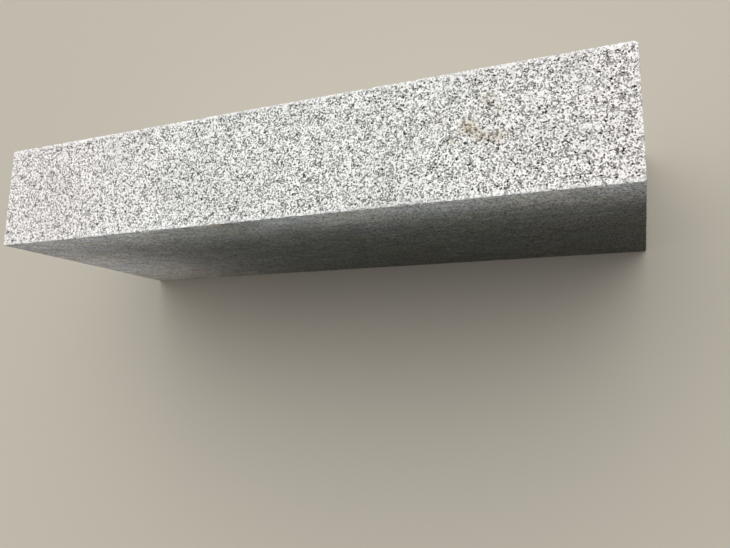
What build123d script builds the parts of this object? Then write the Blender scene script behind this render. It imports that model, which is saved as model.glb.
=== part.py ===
from build123d import *
import os

# A straight granite kerb stone, sawn from one block and standing on its bed.
# All sizes are in millimetres.
# The origin is the middle of the bed, the face that the stone stands on.
# +X runs along the kerb, +Y points to the back of the stone and +Z up to its top.

# Overall size of the block
stone_length = 900.0
stone_width = 150.0
stone_height = 350.0

# Legs of the small bevels that take the sharpness off the sawn arrises
top_arris = 1.5
bed_arris = 1.0
end_arris = 1.0

# The top corner at the back of the right-hand end is knocked off.
# This is how much further along its edges the break reaches than the arrises do.
corner_chip = 1.5

os.makedirs("parts", exist_ok=True)

with BuildPart() as kerb_stone:
    # Section across the kerb: upright, with its arrises along the top and the bed
    with BuildSketch(Plane.YZ) as section:
        Rectangle(stone_width, stone_height, align=(Align.CENTER, Align.MIN))
        section_corners = section.vertices().group_by(Axis.Y)
        chamfer(section_corners[-1], top_arris)
        chamfer(section_corners[0], bed_arris)
    extrude(amount=stone_length / 2, both=True)

    # The arrises round both sawn ends
    sawn_ends = kerb_stone.faces().filter_by(Axis.X)
    chamfer(sawn_ends.edges(), end_arris)

    # The break runs evenly across the three faces that meet in the corner
    chip_reach = top_arris + end_arris + corner_chip
    break_start = (stone_length / 2 - chip_reach, stone_width / 2, stone_height)
    break_plane = Plane(origin=break_start, z_dir=(1, 1, 1))
    split(bisect_by=break_plane, keep=Keep.BOTTOM)

kerb_stone.part.label = "kerb_stone"
export_step(kerb_stone.part, "parts/kerb_stone.step")
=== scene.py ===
"""A sawn granite kerb stone with a rough-dressed top, seen from above its right-hand end.

The stone stands on its bed, in metres: +X along the kerb, +Y to its back, +Z up.
"""

import math

import bpy
import numpy as np
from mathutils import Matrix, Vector, geometry, noise


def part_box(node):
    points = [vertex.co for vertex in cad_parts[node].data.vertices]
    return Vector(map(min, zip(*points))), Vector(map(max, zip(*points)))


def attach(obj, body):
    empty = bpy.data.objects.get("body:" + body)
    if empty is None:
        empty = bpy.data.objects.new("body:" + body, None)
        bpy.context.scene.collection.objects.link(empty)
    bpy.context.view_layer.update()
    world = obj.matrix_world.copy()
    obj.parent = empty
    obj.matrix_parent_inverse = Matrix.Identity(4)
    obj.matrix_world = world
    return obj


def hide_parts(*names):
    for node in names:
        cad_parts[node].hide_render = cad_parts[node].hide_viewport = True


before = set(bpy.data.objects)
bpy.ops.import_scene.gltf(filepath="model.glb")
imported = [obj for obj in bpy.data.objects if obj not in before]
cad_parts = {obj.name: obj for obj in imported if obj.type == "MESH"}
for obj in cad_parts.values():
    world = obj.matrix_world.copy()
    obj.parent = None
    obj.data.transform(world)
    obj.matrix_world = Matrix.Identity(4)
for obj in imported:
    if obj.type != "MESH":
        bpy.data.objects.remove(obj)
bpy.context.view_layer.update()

MM = 0.001
SEED = 7

# Where the stone's front, right-hand end and top lie
STONE_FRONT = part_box("kerb_stone")[0][1]
STONE_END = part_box("kerb_stone")[1][0]
STONE_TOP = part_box("kerb_stone")[1][2]

# The camera, in metres and degrees
CAMERA_AT = (0.4371, -0.2759, 1.0097)
CAMERA_TURN = (10.261, 23.220, 1.042)
CAMERA_CLIP = (0.01, 100.0)
CAMERA_LENS_MM = 31.636
SENSOR_MM = 36.0

# Spacing of the mesh's points: along the arrises, how it widens from them, and inside each kind of face
RIM_STEP = 1.1 * MM
STEP_GROWTH = 1.3
DRESSED_STEP = 2.0 * MM
SAWN_STEP = 7.0 * MM
END_STEP = 5.0 * MM
BED_STEP = 8.0 * MM

# How far a point strays, as a share of the spacing
POINT_JITTER = 0.22

# Two points this close are one point, and a point this close to a face lies on it
SAME_PLACE = RIM_STEP * 1e-3

# How a face is triangulated: the whole hull in plain triangles, to this accuracy in metres
HULL_TRIANGLES, TRIANGLE_ACCURACY = 0, 1e-9

# Edges sharper than this, in degrees, aren't shaded smooth
SHARP_ANGLE = 40

# Each kind of lump in the relief has a size, a depth and a shift that sets its noise apart.
# The shift is multiplied by this, axis by axis.
SHIFT_WAY = (1, 1.7, 2.3)

# Relief of the dressed top: gentle hollows, picked pits from this noise up, and single grains
HOLLOW_SIZE, HOLLOW_DEPTH, HOLLOW_SHIFT = 55 * MM, 0.30 * MM, 3
PIT_SIZE, PIT_DEPTH, PIT_SHIFT, PIT_FROM = 7 * MM, 0.60 * MM, 11, -0.1
GRAIN_SIZE, GRAIN_DEPTH, GRAIN_SHIFT = 3 * MM, 0.30 * MM, 17

# Relief of the sawn faces: the slow wander of the blade
WANDER_SIZE, WANDER_DEPTH, WANDER_SHIFT = 120 * MM, 0.25 * MM, 5

# Arrises: the bevel left by handling, its waver, the grains plucked from it and the larger chips
BEVEL = 0.6 * MM
WAVER_SIZE, WAVER_DEPTH, WAVER_SHIFT = 3 * MM, 0.5 * MM, 29
PLUCK_SIZE, PLUCK_DEPTH, PLUCK_SHIFT, PLUCK_FROM = 6 * MM, 8.5 * MM, 23, 0.20
CHIP_SIZE, CHIP_DEPTH, CHIP_SHIFT, CHIP_FROM = 26 * MM, 8.0 * MM, 31, 0.40

# Further than this below the top, only the first share of that wear is left,
# and at the ends and the back only the second
TOP_WEAR_REACH, LOW_WEAR, CRISP_WEAR = 6 * MM, 0.4, 0.5

# How far the corners are broken, and the one that has lost a larger chip
CORNER_BREAK = 1.5 * MM
CHIPPED_CORNER, CHIPPED_CORNER_BREAK = (1, 1, 1), 4.5 * MM

# The map that the looks are baked through, with this gap between its faces
BAKE_MAP = "OFBake"
BAKE_GAP = 4 * MM

# Cells that become the grains of each mineral: their size, the shift that sets them apart,
# and the size and reach of the warp that makes their edges crooked
FELDSPAR_CELLS = (1.9 * MM, (0, 0, 0), 1.6 * MM, 1.2 * MM)
QUARTZ_CELLS = (1.6 * MM, (0.31, 0.17, 0.23), 1.5 * MM, 1.2 * MM)
MICA_CELLS = (1.5 * MM, (0.53, 0.41, 0.07), 1.2 * MM, 1.0 * MM)
WARP_DETAIL = 1.0

# Noise, each with its size, detail and roughness
QUARTZ_PATCHES = (12 * MM, 3.0, 0.6)
MICA_CLUSTERS = (9 * MM, 2.0, 0.5)
TONE_CLOUDS = (80 * MM, 2.0, 0.5)
STAIN_EDGES = (5 * MM, 3.0, 0.6)
FILM_PATCHES = (30 * MM, 3.0, 0.5)
FILM_HUES = (22 * MM, 2.0, 0.5)
BLADE_MARKS = (5.5 * MM, 3.0, 0.65)
BLADE_BANDS = (13 * MM, 1.0, 0.5)
GRIT = (0.8 * MM, 2.0, 0.5)

# Minerals of the granite. All colours are sRGB, apart from the lamps' own.
FELDSPAR = (0.995, 0.991, 0.983)
FELDSPAR_GREY = (0.880, 0.877, 0.866)
FELDSPAR_CREAM = (0.960, 0.947, 0.925)
QUARTZ = (0.748, 0.746, 0.728)
QUARTZ_DARK = (0.458, 0.456, 0.441)
MICA = (0.128, 0.126, 0.112)
BRUISED = (0.985, 0.982, 0.974)

# The stretches of a cell's random numbers, from 0 to 1, over which its feldspar goes grey and goes cream
GREY_FROM = (0.45, 1.0)
CREAM_FROM = (0.90, 0.92)

# The share of the cells that are quartz or mica: the noise it runs between, then its least and its most
QUARTZ_SHARE = (0.33, 0.67, 0.28, 0.52)
MICA_SHARE = (0.36, 0.66, 0.04, 0.17)

# Along the stone, the quartz darkens to the left over one stretch and gets scarcer over another
QUARTZ_LEFT, QUARTZ_CHANGE = (0.725, 0.725, 0.720), (-350 * MM, 250 * MM)
QUARTZ_LOSS, QUARTZ_SCARCE = 0.160, (-300 * MM, 200 * MM)

# Slow clouds darken the rock this much, between these values of their noise
CLOUD, CLOUD_RANGE = (0.96, 0.96, 0.96), (0.35, 0.65)

# A slight tint, greenest at one place along the stone and pinker away from it
TINT_GREEN, TINT_PINK = (0.992, 0.998, 0.993), (1.0, 0.983, 0.984)
GREENEST_AT, PINKER_REACH = 60 * MM, (50 * MM, 480 * MM)

# The hammer bruises the rim of the top to a paler grey, over this distance, and less at its ends
BRUISE_REACH, BRUISE, END_BRUISE = 7 * MM, 0.48, 0.20

# Painted shade on the bevel of the front's top arris, which is darker than the bruised rim, over this
# distance
ARRIS_SHADE, ARRIS_SHADE_REACH = (0.76, 0.76, 0.76), 7 * MM

# The film of slurry on the sawn faces: its two hues, with the noise that they run between
FILM_BLUE, FILM_BROWN, FILM_HUE_RANGE = (0.528, 0.548, 0.585), (0.572, 0.549, 0.516), (0.4, 0.6)

# How well the film covers: the noise of patches and saw marks together, then its least and its most
FILM_PATCH_WEIGHT, FILM_MARK_WEIGHT = 0.6, 0.4
FILM_COVER = (0.35, 0.65, 0.34, 0.50)

# The blade's centre, which the saw marks on the sawn faces run round, and how far they are drawn out
BLADE_CENTRE = (80 * MM, 0, 1500 * MM)
BLADE_MARK_STRETCH = 5

# The tone of the saw marks, from fine marks and broad bands together
MARK_DARK, MARK_LIGHT, MARK_RANGE = (0.858, 0.860, 0.844), (0.990, 0.995, 0.978), (0.38, 0.62)
MARK_WEIGHT, BAND_WEIGHT = 0.6, 0.4

# The foot of the sawn faces is tinted warmer and a little darker, fading out at this height
FOOT_TINT, FOOT_TINT_HEIGHT = (1.0, 0.985, 0.950), 110 * MM

# Pits in the sawn faces, drawn only as painted shade: this share of the cells has one, with this radius as
# a share of the cell, and it is darkest within this share of its radius
HOLE_SHADE = (0.22, 0.22, 0.21)
HOLE_CELL, HOLE_SHARE, HOLE_REACH, HOLE_CORE = 9 * MM, 0.06, 0.15, 0.6

# A stain fades out at this many radii, and its edge strays by this many
STAIN_FADE, STAIN_STRAY = 2, 1.6

# Stains on the top: the x, y and radius of each, and how well it covers
TOP_STAIN = (0.80, 0.755, 0.66)
TOP_STAINS = (
    (273 * MM, 7 * MM, 12 * MM, 0.85),
    (281 * MM, 1 * MM, 11 * MM, 0.60),
    (289 * MM, -5 * MM, 10 * MM, 0.60),
    (303 * MM, -8 * MM, 10 * MM, 0.60),
    (314 * MM, -6 * MM, 8 * MM, 0.30),
    (297 * MM, 37 * MM, 12 * MM, 0.35),
    (308 * MM, 22 * MM, 12 * MM, 0.25),
    (285 * MM, 25 * MM, 10 * MM, 0.20),
    (254 * MM, -8 * MM, 6 * MM, 0.35),
    (241 * MM, 21 * MM, 9 * MM, 0.22),
)

# Rust, dark patches and pits drawn as painted shade on the front: the x, z and radius of each, and how
# well it covers.
# Each kind is drawn out along the stone by its stretch, or up it where the stretch is below 1.
RUST, RUST_STRETCH = (0.93, 0.80, 0.73), 3
RUST_STAINS = (
    (-290 * MM, 76 * MM, 9 * MM, 0.70),
    (-235 * MM, 40 * MM, 9 * MM, 0.60),
    (-57 * MM, 345 * MM, 4 * MM, 0.80),
    (-163 * MM, 337 * MM, 6 * MM, 0.50),
)
DARK, DARK_STRETCH = (0.845, 0.835, 0.815), 2
DARK_STAINS = (
    (-45 * MM, 330 * MM, 30 * MM, 0.85),
    (-130 * MM, 333 * MM, 26 * MM, 0.60),
)
PIT_STRETCH = 0.45
PIT_STAINS = (
    (298 * MM, 278 * MM, 4.2 * MM, 1.00),
    (195 * MM, 270 * MM, 3.6 * MM, 0.65),
    (162 * MM, 287 * MM, 3.4 * MM, 0.65),
    (343 * MM, 284 * MM, 3.2 * MM, 0.65),
    (411 * MM, 312 * MM, 3.0 * MM, 0.50),
    (183 * MM, 305 * MM, 3.0 * MM, 0.50),
)
FRONT_STAINS = (
    (RUST_STAINS, RUST, RUST_STRETCH),
    (DARK_STAINS, DARK, DARK_STRETCH),
    (PIT_STAINS, HOLE_SHADE, PIT_STRETCH),
)

# Bump: how much each grain's level, the mica and the saw marks count beside the grit,
# and how deep it is where sawn and where dressed
GRAIN_BUMP, MICA_BUMP, MARK_BUMP = 0.6, 0.6, 4.0
BUMP_DEPTH = (0.04 * MM, 0.25 * MM)

# Roughness where sawn and where dressed, how much smoother the mica is, and the strength of reflections
ROUGHNESS, MICA_GLOSS, SPECULAR = (0.75, 0.9), 0.2, 0.1

# The sky over the stone is brightest this far behind overhead, in degrees, and fades away from there
SKY_TILT = 55
SKY_STRENGTH = 2.39

# Two lamps before the front face: a slim one along its upper edge and an upright one by its left end.
# Each stands its gap before the face. The first is centred on its middle along the stone, and the second
# is set in from the left end and aims lower than it stands, by its drop.
EDGE_LAMP_SIZE = (1040 * MM, 10 * MM)
EDGE_LAMP_MIDDLE = 40 * MM
EDGE_LAMP_GAP = 68 * MM
EDGE_LAMP_WATTS = 0.222
EDGE_LAMP_COLOUR = (0.950, 0.970, 1.0)
END_LAMP_SIZE = (80 * MM, 280 * MM)
END_LAMP_GAP = 170 * MM
END_LAMP_INSET = 25 * MM
END_LAMP_DROP = 70 * MM
END_LAMP_WATTS = 0.214
END_LAMP_COLOUR = (0.985, 0.965, 0.960)

# The floor's colour, the darker one for the light that it throws back, and its half width in metres
FLOOR = (0.74, 0.715, 0.665)
FLOOR_BOUNCE = (0.255, 0.255, 0.20)
FLOOR_HALF = 30.0

# What shows beyond the floor
BACKDROP = (0.86, 0.85, 0.83)


def linear(colour):
    """A shader colour from an sRGB one, by the standard curve."""
    return [(c / 12.92 if c <= 0.04045 else ((c + 0.055) / 1.055) ** 2.4) for c in colour] + [1.0]


def rim_line(low, high):
    """Places along one edge of the block, which the faces on both sides share."""
    count = max(2, round((high - low) / RIM_STEP))
    return np.linspace(low, high, count + 1)


def rectangle_points(low, high, step):
    """Points round a rectangle, about a step apart."""
    (u0, v0), (u1, v1) = low, high
    us = np.linspace(u0, u1, max(2, round((u1 - u0) / step)) + 1)
    vs = np.linspace(v0, v1, max(2, round((v1 - v0) / step)) + 1)[1:-1]
    sides = [np.stack([us, np.full_like(us, v)], 1) for v in (v0, v1)]
    sides += [np.stack([np.full_like(vs, u), vs], 1) for u in (u0, u1)]
    return np.concatenate(sides)


def lattice_points(low, high, step):
    """Points of a lattice of even triangles that fills a rectangle."""
    rows = np.arange(low[1], high[1], step * math.sin(math.radians(60)))
    lines = []
    for i, v in enumerate(rows):
        us = np.arange(low[0] + step * 0.5 * (i % 2), high[0], step)
        lines.append(np.stack([us, np.full_like(us, v)], 1))
    return np.concatenate(lines)


def face_points(us, vs, step, rng):
    """Points over one face: its shared rim, rings that widen from it and an even middle."""
    low, high = np.array([us[0], vs[0]]), np.array([us[-1], vs[-1]])
    rim = np.concatenate(
        [np.stack([us, np.full_like(us, v)], 1) for v in (vs[0], vs[-1])]
        + [np.stack([np.full_like(vs[1:-1], u), vs[1:-1]], 1) for u in (us[0], us[-1])]
    )
    inner, inset, spacing = [], 0.0, RIM_STEP
    while spacing < step:
        inset += spacing
        spacing = min(spacing * STEP_GROWTH, step)
        ring = rectangle_points(low + inset, high - inset, spacing)
        inner.append(ring + rng.uniform(-1, 1, ring.shape) * spacing * POINT_JITTER)
    inset += spacing
    middle = lattice_points(low + inset, high - inset, spacing)
    inner.append(middle + rng.uniform(-1, 1, middle.shape) * spacing * POINT_JITTER)
    return np.concatenate([rim] + inner)


def block_mesh(low, high, rng):
    """A closed mesh of the plain block. Returns its points, its triangles and the face each is on."""
    lines = [rim_line(low[i], high[i]) for i in range(3)]
    points, triangles, owners = [], [], []
    start = 0
    for axis in range(3):
        u, v = (axis + 1) % 3, (axis + 2) % 3
        for side in (0, 1):
            step = (END_STEP, SAWN_STEP, (BED_STEP, DRESSED_STEP)[side])[axis]
            flat = [Vector(p) for p in face_points(lines[u], lines[v], step, rng)]
            found = geometry.delaunay_2d_cdt(flat, [], [], HULL_TRIANGLES, TRIANGLE_ACCURACY)
            flat, tris = np.array(found[0]), np.array(found[2])
            solid = np.zeros((len(flat), 3))
            solid[:, u], solid[:, v] = flat[:, 0], flat[:, 1]
            solid[:, axis] = (low, high)[side][axis]
            points.append(solid)
            triangles.append((tris if side else tris[:, ::-1]) + start)
            owners.append(np.full(len(tris), axis * 2 + side))
            start += len(flat)
    points, triangles = np.concatenate(points), np.concatenate(triangles)
    keys = np.round(points / SAME_PLACE).astype(np.int64)
    _, first, same = np.unique(keys, axis=0, return_index=True, return_inverse=True)
    return points[first], same.reshape(-1)[triangles], np.concatenate(owners)


def lumps(points, size, shift):
    """Smooth noise at each point, from about -1 to 1, whose lumps are about that size."""
    offset = Vector([shift * way for way in SHIFT_WAY])
    return np.array([noise.noise(Vector(p) / size + offset) for p in points])


def swell(points, size, shift):
    """The same noise, from about 0 to 1."""
    return 0.5 + 0.5 * lumps(points, size, shift)


def peaks(points, size, shift, start):
    """The same noise, where it rises over the start."""
    return np.clip(lumps(points, size, shift) - start, 0, 1)


def dressed_relief(points):
    """How far each point of the dressed top lies below its highest level."""
    hollows = swell(points, HOLLOW_SIZE, HOLLOW_SHIFT)
    pits = peaks(points, PIT_SIZE, PIT_SHIFT, PIT_FROM)
    grains = swell(points, GRAIN_SIZE, GRAIN_SHIFT)
    return HOLLOW_DEPTH * hollows + PIT_DEPTH * pits + GRAIN_DEPTH * grains


def sawn_relief(points):
    """How far each point of a sawn face lies inside its highest level."""
    return WANDER_DEPTH * swell(points, WANDER_SIZE, WANDER_SHIFT)


def sink_faces(points, low, high):
    """Moves each point inwards by its faces' relief. Returns the points, and which are on the top."""
    on_top = points[:, 2] > high[2] - SAME_PLACE
    relief = np.where(on_top, dressed_relief(points), 0.0)
    sawn = sawn_relief(points)
    moved = points.copy()
    for axis in range(3):
        at_low = points[:, axis] < low[axis] + SAME_PLACE
        at_high = points[:, axis] > high[axis] - SAME_PLACE
        moved[at_low, axis] += sawn[at_low]
        depth = relief if axis == 2 else sawn
        moved[at_high, axis] -= depth[at_high]
    return moved, on_top


def arris_legs(points, high):
    """The leg of the bevel at each point: small, and deeper at plucked grains and chips."""
    wear = WAVER_DEPTH * swell(points, WAVER_SIZE, WAVER_SHIFT)
    wear = wear + PLUCK_DEPTH * peaks(points, PLUCK_SIZE, PLUCK_SHIFT, PLUCK_FROM)
    wear = wear + CHIP_DEPTH * peaks(points, CHIP_SIZE, CHIP_SHIFT, CHIP_FROM)
    near_top = points[:, 2] > high[2] - TOP_WEAR_REACH
    at_end = np.abs(points[:, 0]) > high[0] - RIM_STEP
    at_back = points[:, 1] > high[1] - RIM_STEP
    return BEVEL + wear * np.where(near_top, 1.0, LOW_WEAR) * np.where(at_end | at_back, CRISP_WEAR, 1.0)


def cut_back(points, way, reach, legs):
    """Moves points beyond a slanted plane back on to it. Returns how far beyond it each was."""
    beyond = points @ way - (reach - legs)
    beyond = np.clip(beyond, 0, None)
    points -= np.outer(beyond, way) / (way @ way)
    return beyond


def wear_arrises(points, low, high):
    """Bevels and chips the arrises and the corners. Returns the wear of each point, from 0 to 1."""
    legs = arris_legs(points, high)
    size = np.array([low, high])
    wear = np.zeros(len(points))
    for axis in range(3):
        for a in (0, 1):
            for b in (0, 1):
                way, reach = np.zeros(3), 0.0
                for other, side in (((axis + 1) % 3, a), ((axis + 2) % 3, b)):
                    way[other] = 2 * side - 1
                    reach += way[other] * size[side][other]
                wear = np.maximum(wear, cut_back(points, way, reach, legs))
    for corner in np.ndindex(2, 2, 2):
        way = np.array(corner) * 2.0 - 1
        reach = sum(way[i] * size[corner[i]][i] for i in range(3))
        broken = CHIPPED_CORNER_BREAK if corner == CHIPPED_CORNER else CORNER_BREAK
        wear = np.maximum(wear, cut_back(points, way, reach, legs + broken))
    return np.clip(wear / BEVEL, 0, 1)


class Tree:
    """Short calls that add nodes to one node tree and link them."""

    def __init__(self, tree):
        self.tree = tree
        tree.nodes.clear()

    def add(self, kind, inputs=None, **settings):
        """A node with these settings, whose inputs are set or linked."""
        node = self.tree.nodes.new(kind)
        for name, value in settings.items():
            setattr(node, name, value)
        for name, value in (inputs or {}).items():
            self.put(node.inputs[name], value)
        return node

    def put(self, socket, value):
        """Links an output to a socket, or sets the socket to a plain value."""
        if isinstance(value, bpy.types.NodeSocket):
            self.tree.links.new(value, socket)
        else:
            socket.default_value = value

    def math(self, operation, a, b=0.0):
        """One sum with two numbers."""
        return self.add("ShaderNodeMath", {0: a, 1: b}, operation=operation).outputs[0]

    def weigh(self, a, weight_a, b, weight_b):
        """Two numbers, each times its weight, added up."""
        return self.math("ADD", self.math("MULTIPLY", a, weight_a), self.math("MULTIPLY", b, weight_b))

    def spread(self, value, low, high, to_low=0.0, to_high=1.0):
        """Maps low..high to to_low..to_high, smoothly and without going beyond."""
        names = ("Value", "From Min", "From Max", "To Min", "To Max")
        inputs = dict(zip(names, (value, low, high, to_low, to_high)))
        return self.add("ShaderNodeMapRange", inputs, interpolation_type="SMOOTHSTEP").outputs[0]

    def mix(self, amount, a, b, blend="MIX"):
        """Colour a, mixed with b by an amount from 0 to 1."""
        node = self.add("ShaderNodeMix", data_type="RGBA", blend_type=blend, clamp_factor=True)
        for index, value in ((0, amount), (6, a), (7, b)):
            self.put(node.inputs[index], value)
        return node.outputs[2]

    def noise(self, place, size, detail, roughness=0.5):
        """A node of noise, whose lumps are about that size."""
        inputs = {"Vector": place, "Scale": 1 / size, "Detail": detail, "Roughness": roughness}
        return self.add("ShaderNodeTexNoise", inputs)

    def cells(self, place, size):
        """A node of random cells, about that wide."""
        return self.add("ShaderNodeTexVoronoi", {"Vector": place, "Scale": 1 / size}, feature="F1")

    def split(self, colour):
        """The three parts of a colour."""
        return self.add("ShaderNodeSeparateColor", {0: colour}).outputs

    def axes(self, place):
        """The three parts of a place."""
        return self.add("ShaderNodeSeparateXYZ", {0: place}).outputs

    def vector(self, operation, a, b):
        """One sum with two vectors."""
        return self.add("ShaderNodeVectorMath", {0: a, 1: b}, operation=operation).outputs[0]

    def distance(self, a, b):
        """The distance between two places."""
        return self.add("ShaderNodeVectorMath", {0: a, 1: b}, operation="DISTANCE").outputs["Value"]


def crooked_cells(tree, place, size, shift, warp_size, warp):
    """Cells with crooked edges. Returns two random numbers for each, from 0 to 1."""
    bent = tree.noise(place, warp_size, WARP_DETAIL).outputs["Color"]
    bent = tree.vector("SUBTRACT", bent, (0.5, 0.5, 0.5))
    bent = tree.add("ShaderNodeVectorMath", {0: bent, "Scale": warp}, operation="SCALE").outputs[0]
    moved = tree.vector("ADD", tree.vector("ADD", place, shift), bent)
    kind, tone, _ = tree.split(tree.cells(moved, size).outputs["Color"])
    return kind, tone


def minerals(tree, place):
    """The bare rock: white feldspar, grey quartz and black mica.

    Returns its colour, a random level for each grain, and 1 in the mica and 0 beside it.
    """
    # Feldspar, cell by cell
    kind, tone = crooked_cells(tree, place, *FELDSPAR_CELLS)
    colour = tree.mix(tree.spread(tone, *GREY_FROM), linear(FELDSPAR), linear(FELDSPAR_GREY))
    colour = tree.mix(tree.spread(kind, *CREAM_FROM), colour, linear(FELDSPAR_CREAM))

    # Quartz, in grains of its own that gather in patches
    kind, tone = crooked_cells(tree, place, *QUARTZ_CELLS)
    share = tree.spread(tree.noise(place, *QUARTZ_PATCHES).outputs["Fac"], *QUARTZ_SHARE)
    x, _, _ = tree.axes(place)
    share = tree.math("SUBTRACT", share, tree.spread(x, *QUARTZ_SCARCE, QUARTZ_LOSS, 0.0))
    is_quartz = tree.math("LESS_THAN", kind, share)
    quartz = tree.mix(tone, linear(QUARTZ), linear(QUARTZ_DARK))
    quartz = tree.mix(tree.spread(x, *QUARTZ_CHANGE, 1.0, 0.0), quartz, linear(QUARTZ_LEFT), "MULTIPLY")
    colour = tree.mix(is_quartz, colour, quartz)

    # Mica, in small flakes that lie in loose clusters
    kind, _ = crooked_cells(tree, place, *MICA_CELLS)
    share = tree.spread(tree.noise(place, *MICA_CLUSTERS).outputs["Fac"], *MICA_SHARE)
    is_mica = tree.math("LESS_THAN", kind, share)
    colour = tree.mix(is_mica, colour, linear(MICA))
    return colour, tone, is_mica


def clouds(tree, place, colour):
    """Slow changes of tone through the rock, which is pinker towards both ends."""
    tone = tree.noise(place, *TONE_CLOUDS).outputs["Fac"]
    colour = tree.mix(tree.spread(tone, *CLOUD_RANGE), colour, linear(CLOUD), "MULTIPLY")
    x, _, _ = tree.axes(place)
    away = tree.math("ABSOLUTE", tree.math("SUBTRACT", x, GREENEST_AT))
    tint = tree.mix(tree.spread(away, *PINKER_REACH), linear(TINT_GREEN), linear(TINT_PINK))
    return tree.mix(1.0, colour, tint, "MULTIPLY")


def bruised(tree, place, colour, dressed):
    """The dressed top, whose crystals are crushed paler along its rim."""
    x, y, _ = tree.axes(place)
    cover = 0.0
    for along, edge, bruise in ((x, STONE_END, END_BRUISE), (y, -STONE_FRONT, BRUISE)):
        near = tree.spread(tree.math("ABSOLUTE", along), edge - BRUISE_REACH, edge, 0.0, bruise)
        cover = tree.math("MAXIMUM", near, cover)
    return tree.mix(tree.math("MULTIPLY", cover, dressed), colour, linear(BRUISED))


def shaded_bevel(tree, place, colour, dressed, worn):
    """The bevel of the front's top arris, darkened a little below the rim by painted shade."""
    _, y, _ = tree.axes(place)
    cover = tree.spread(y, STONE_FRONT, STONE_FRONT + ARRIS_SHADE_REACH, 1.0, 0.0)
    cover = tree.math("MULTIPLY", cover, tree.math("MULTIPLY", worn, dressed))
    return tree.mix(cover, colour, linear(ARRIS_SHADE), "MULTIPLY")


def blade_lines(tree, place):
    """Places across and along the arcs that the blade leaves, drawn out along them."""
    x, y, _ = tree.axes(place)
    along = tree.math("MULTIPLY", tree.math("ADD", x, y), 1 / BLADE_MARK_STRETCH)
    across = tree.distance(place, BLADE_CENTRE)
    return tree.add("ShaderNodeCombineXYZ", {0: across, 1: along}).outputs[0]


def stained(tree, place, colour, stains, stain_colour, stretch=1):
    """The colour under soft, ragged stains, which may be drawn out along the stone."""
    squeeze = Vector((1 / stretch, 1, 1))
    place = tree.vector("MULTIPLY", place, squeeze)
    ragged = tree.noise(place, *STAIN_EDGES).outputs["Fac"]
    cover = 0.0
    for middle, radius, strength in stains:
        away = tree.distance(place, Vector(middle) * squeeze)
        away = tree.math("ADD", away, tree.math("MULTIPLY", ragged, radius * STAIN_STRAY))
        cover = tree.math("MAXIMUM", tree.spread(away, radius, radius * STAIN_FADE, strength, 0.0), cover)
    return tree.mix(cover, colour, linear(stain_colour), "MULTIPLY")


def top_stained(tree, place, colour):
    """The colour under the stains of the top."""
    stains = [((x, y, STONE_TOP), radius, strength) for x, y, radius, strength in TOP_STAINS]
    return stained(tree, place, colour, stains, TOP_STAIN)


def front_stained(tree, place, colour):
    """The colour under the rust, the dark patches and the painted shade of the pits of the front face."""
    for spots, stain_colour, stretch in FRONT_STAINS:
        stains = [((x, STONE_FRONT, z), radius, strength) for x, z, radius, strength in spots]
        colour = stained(tree, place, colour, stains, stain_colour, stretch)
    return colour


def holes(tree, place):
    """Small round pits where grains have fallen out: 1 in them and 0 around them."""
    cells = tree.cells(place, HOLE_CELL)
    kind, _, _ = tree.split(cells.outputs["Color"])
    inside = tree.spread(cells.outputs["Distance"], HOLE_REACH * HOLE_CORE, HOLE_REACH, 1.0, 0.0)
    return tree.math("MULTIPLY", inside, tree.math("LESS_THAN", kind, HOLE_SHARE))


def soiled(tree, place, rock, lines, marks, sawn):
    """The rock, and over it where sawn a film of slurry, the blade's marks, a warmer and darker tint
    towards the foot, stains, and pits darkened with painted shade.
    """
    patches = tree.noise(place, *FILM_PATCHES).outputs["Fac"]
    cover = tree.weigh(patches, FILM_PATCH_WEIGHT, marks, FILM_MARK_WEIGHT)
    bluer = tree.spread(tree.noise(lines, *FILM_HUES).outputs["Fac"], *FILM_HUE_RANGE)
    film = tree.mix(bluer, linear(FILM_BROWN), linear(FILM_BLUE))
    colour = tree.mix(tree.spread(cover, *FILM_COVER), rock, film)

    bands = tree.noise(lines, *BLADE_BANDS).outputs["Fac"]
    tone = tree.spread(tree.weigh(marks, MARK_WEIGHT, bands, BAND_WEIGHT), *MARK_RANGE)
    colour = tree.mix(1.0, colour, tree.mix(tone, linear(MARK_DARK), linear(MARK_LIGHT)), "MULTIPLY")

    _, _, z = tree.axes(place)
    # Warmer and a little darker towards the foot of the sawn faces
    colour = tree.mix(tree.spread(z, 0.0, FOOT_TINT_HEIGHT, 1.0, 0.0), colour, linear(FOOT_TINT), "MULTIPLY")
    colour = front_stained(tree, place, colour)
    # Painted shade in the pits, which the mesh has no hollows for
    colour = tree.mix(holes(tree, place), colour, linear(HOLE_SHADE), "MULTIPLY")
    return tree.mix(sawn, rock, colour)


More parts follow.
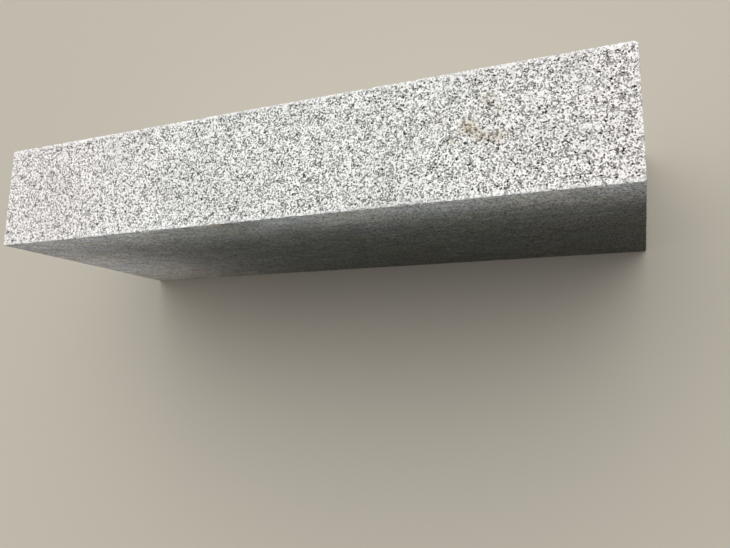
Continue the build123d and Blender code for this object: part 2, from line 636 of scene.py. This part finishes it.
def granite():
    """Granite, rougher and whiter where dressed, and dulled by its own slurry where sawn."""
    material = bpy.data.materials.new("granite")
    material.use_nodes = True
    tree = Tree(material.node_tree)
    place = tree.add("ShaderNodeTexCoord").outputs["Object"]
    dressed = tree.add("ShaderNodeAttribute", attribute_name="dressed").outputs["Fac"]
    worn = tree.add("ShaderNodeAttribute", attribute_name="worn").outputs["Fac"]
    sawn = tree.math("SUBTRACT", 1.0, tree.math("MAXIMUM", dressed, worn))

    rock, level, is_mica = minerals(tree, place)
    colour = bruised(tree, place, clouds(tree, place, rock), dressed)
    colour = top_stained(tree, place, colour)
    # Painted shade on the bevel of the front's top arris
    colour = shaded_bevel(tree, place, colour, dressed, worn)

    lines = blade_lines(tree, place)
    marks = tree.noise(lines, *BLADE_MARKS).outputs["Fac"]
    colour = soiled(tree, place, colour, lines, marks, sawn)

    grit = tree.noise(place, *GRIT).outputs["Fac"]
    height = tree.math("ADD", tree.math("MULTIPLY", level, GRAIN_BUMP), grit)
    height = tree.math("SUBTRACT", height, tree.math("MULTIPLY", is_mica, MICA_BUMP))
    height = tree.math("ADD", height, tree.math("MULTIPLY", marks, tree.math("MULTIPLY", sawn, MARK_BUMP)))
    depth = tree.spread(dressed, 0, 1, *BUMP_DEPTH)
    bump = tree.add("ShaderNodeBump", {"Strength": 1.0, "Distance": depth, "Height": height})
    rough = tree.spread(dressed, 0, 1, *ROUGHNESS)
    rough = tree.math("SUBTRACT", rough, tree.math("MULTIPLY", is_mica, MICA_GLOSS))
    looks = {
        "Base Color": colour,
        "Roughness": rough,
        "Specular IOR Level": SPECULAR,
        "Normal": bump.outputs[0],
    }
    shader = tree.add("ShaderNodeBsdfPrincipled", looks)
    tree.add("ShaderNodeOutputMaterial", {"Surface": shader.outputs[0]})
    return material


def lay_bake_map(mesh, plain, triangles, owners, low, high):
    """Lays the plain block's faces out flat: the long ones above each other, the two ends beside them."""
    size = high - low
    origins, v = {}, BAKE_GAP
    for axis, side in ((1, 0), (1, 1), (2, 1), (2, 0)):
        origins[axis * 2 + side] = (BAKE_GAP, v)
        v += size[3 - axis] + BAKE_GAP
    height, v = v, BAKE_GAP
    for side in (0, 1):
        origins[side] = (size[0] + 2 * BAKE_GAP, v)
        v += size[2] + BAKE_GAP
    width = size[0] + size[1] + 3 * BAKE_GAP
    places = np.zeros((len(triangles), 3, 2))
    for owner, origin in origins.items():
        across = [i for i in range(3) if i != owner // 2]
        mine = owners == owner
        places[mine] = (plain - low)[:, across][triangles[mine]] + origin
    layer = mesh.uv_layers.new(name=BAKE_MAP)
    layer.uv.foreach_set("vector", (places / max(width, height)).ravel().astype(np.float32))


def add_attribute(mesh, name, values):
    """Stores one number for each vertex."""
    mesh.attributes.new(name, "FLOAT", "POINT").data.foreach_set("value", values.astype(np.float32))


def kerb_stone():
    """The stone as one closed mesh, from the box of its CAD node."""
    low, high = (np.array(corner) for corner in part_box("kerb_stone"))
    rng = np.random.default_rng(SEED)
    plain, triangles, owners = block_mesh(low, high, rng)
    points, on_top = sink_faces(plain, low, high)
    worn = wear_arrises(points, low, high)
    mesh = bpy.data.meshes.new("kerb_stone")
    mesh.from_pydata(points.tolist(), [], triangles.tolist())
    mesh.shade_smooth()
    mesh.set_sharp_from_angle(angle=math.radians(SHARP_ANGLE))
    add_attribute(mesh, "dressed", on_top)
    add_attribute(mesh, "worn", worn)
    lay_bake_map(mesh, plain, triangles, owners, low, high)
    mesh.materials.append(granite())
    stone = bpy.data.objects.new("granite_block", mesh)
    bpy.context.collection.objects.link(stone)
    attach(stone, "root")
    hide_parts("kerb_stone")
    return stone


def seen_directly(tree):
    """1 for rays from the camera, and for the reflections and glass that show the surroundings."""
    path = tree.add("ShaderNodeLightPath").outputs
    seen = tree.math("MAXIMUM", path["Is Camera Ray"], path["Is Glossy Ray"])
    return tree.math("MAXIMUM", seen, path["Is Transmission Ray"])


def floor():
    """A wide pale floor that throws little of its own light on the stone."""
    mesh = bpy.data.meshes.new("floor")
    corners = [(x * FLOOR_HALF, y * FLOOR_HALF, 0) for x, y in ((-1, -1), (1, -1), (1, 1), (-1, 1))]
    mesh.from_pydata(corners, [], [(0, 1, 2, 3)])
    material = bpy.data.materials.new("floor")
    material.use_nodes = True
    tree = Tree(material.node_tree)
    colour = tree.mix(seen_directly(tree), linear(FLOOR_BOUNCE), linear(FLOOR))
    shader = tree.add("ShaderNodeBsdfDiffuse", {"Color": colour})
    tree.add("ShaderNodeOutputMaterial", {"Surface": shader.outputs[0]})
    mesh.materials.append(material)
    ground = bpy.data.objects.new("floor", mesh)
    bpy.context.collection.objects.link(ground)


def sky():
    """A soft sky, brightest behind and above the stone, which shows as a pale backdrop."""
    world = bpy.data.worlds.new("studio")
    world.use_nodes = True
    tree = Tree(world.node_tree)
    way = tree.add("ShaderNodeTexCoord").outputs["Generated"]
    tilt = math.radians(SKY_TILT)
    inputs = {0: way, 1: (0, math.sin(tilt), math.cos(tilt))}
    near = tree.add("ShaderNodeVectorMath", inputs, operation="DOT_PRODUCT").outputs["Value"]
    glow = tree.math("MULTIPLY", tree.math("MAXIMUM", near, 0.0), SKY_STRENGTH)
    shining = tree.add("ShaderNodeBackground", {"Color": (1, 1, 1, 1), "Strength": glow})
    backdrop = tree.add("ShaderNodeBackground", {"Color": linear(BACKDROP), "Strength": 1.0})
    shown = {0: seen_directly(tree), 1: shining.outputs[0], 2: backdrop.outputs[0]}
    shown = tree.add("ShaderNodeMixShader", shown)
    tree.add("ShaderNodeOutputWorld", {"Surface": shown.outputs[0]})
    bpy.context.scene.world = world


def lamp(name, at, towards, size, watts, colour, lit):
    """A rectangular lamp that the camera doesn't see and that shines on one collection alone."""
    data = bpy.data.lights.new(name, "AREA")
    data.shape, data.energy, data.color = "RECTANGLE", watts, colour
    data.size, data.size_y = size
    piece = bpy.data.objects.new(name, data)
    piece.location = at
    piece.rotation_euler = (Vector(towards) - Vector(at)).to_track_quat("-Z", "Y").to_euler()
    piece.visible_camera = False
    piece.light_linking.receiver_collection = lit
    bpy.context.collection.objects.link(piece)


def lamps(stone):
    """The two small lamps that lift the front face, which the sky leaves in shade."""
    lit = bpy.data.collections.new("lit_by_lamps")
    lit.objects.link(stone)
    low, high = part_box("kerb_stone")
    x, z = EDGE_LAMP_MIDDLE, high[2]
    at, towards = (x, low[1] - EDGE_LAMP_GAP, z), (x, 0, z)
    lamp("edge_lamp", at, towards, EDGE_LAMP_SIZE, EDGE_LAMP_WATTS, EDGE_LAMP_COLOUR, lit)
    x, z = low[0] + END_LAMP_INSET, low[2] + END_LAMP_SIZE[1] / 2
    at, towards = (x, low[1] - END_LAMP_GAP, z), (x, 0, z - END_LAMP_DROP)
    lamp("end_lamp", at, towards, END_LAMP_SIZE, END_LAMP_WATTS, END_LAMP_COLOUR, lit)


def camera():
    """The photograph's view: from above the right-hand end, looking down and to the left."""
    data = bpy.data.cameras.new("camera")
    data.lens, data.sensor_width = CAMERA_LENS_MM, SENSOR_MM
    data.clip_start, data.clip_end = CAMERA_CLIP
    view = bpy.data.objects.new("camera", data)
    view.location = CAMERA_AT
    view.rotation_euler = [math.radians(a) for a in CAMERA_TURN]
    bpy.context.collection.objects.link(view)
    bpy.context.scene.camera = view


stone = kerb_stone()
floor()
sky()
lamps(stone)
camera()
bpy.context.scene.view_settings.view_transform = "Standard"
